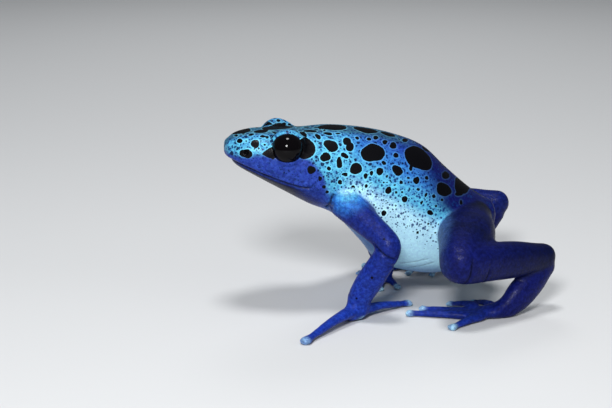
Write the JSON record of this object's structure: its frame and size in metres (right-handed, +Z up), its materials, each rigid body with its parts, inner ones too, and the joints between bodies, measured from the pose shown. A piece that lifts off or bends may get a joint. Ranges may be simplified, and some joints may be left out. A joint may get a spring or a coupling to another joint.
{
  "type": "blue poison dart frog model",
  "caption": "Life-size still model of a blue poison dart frog, standing with its head raised, resting on its hands and feet.",
  "frame": {"origin": "middle of the frog's bounding box, at the level of the floor it stands on", "axes": "+Z up; the frog faces -X, and its left side is -Y"},
  "size_m": [0.0454, 0.0402, 0.0261],
  "materials": {
    "skin": "moist azure skin, paler on the flanks, with black spots",
    "limb_skin": "moist deep royal blue skin",
    "eye": "wet glossy black"
  },
  "bodies": {
    "root": {"head": "skin", "torso": "skin", "eye_left": "eye", "eye_right": "eye", "upper_arm_left": "limb_skin", "forearm_left": "limb_skin", "palm_left": "limb_skin", "finger_1_left": "limb_skin", "finger_2_left": "limb_skin", "finger_3_left": "limb_skin", "finger_4_left": "limb_skin", "thigh_left": "limb_skin", "shank_left": "limb_skin", "tarsus_left": "limb_skin", "sole_left": "limb_skin", "toe_1_left": "limb_skin", "toe_2_left": "limb_skin", "toe_3_left": "limb_skin", "toe_4_left": "limb_skin", "toe_5_left": "limb_skin", "upper_arm_right": "limb_skin", "forearm_right": "limb_skin", "palm_right": "limb_skin", "finger_1_right": "limb_skin", "finger_2_right": "limb_skin", "finger_3_right": "limb_skin", "finger_4_right": "limb_skin", "thigh_right": "limb_skin", "shank_right": "limb_skin", "tarsus_right": "limb_skin", "sole_right": "limb_skin", "toe_1_right": "limb_skin", "toe_2_right": "limb_skin", "toe_3_right": "limb_skin", "toe_4_right": "limb_skin", "toe_5_right": "limb_skin"}
  },
  "joints": []
}
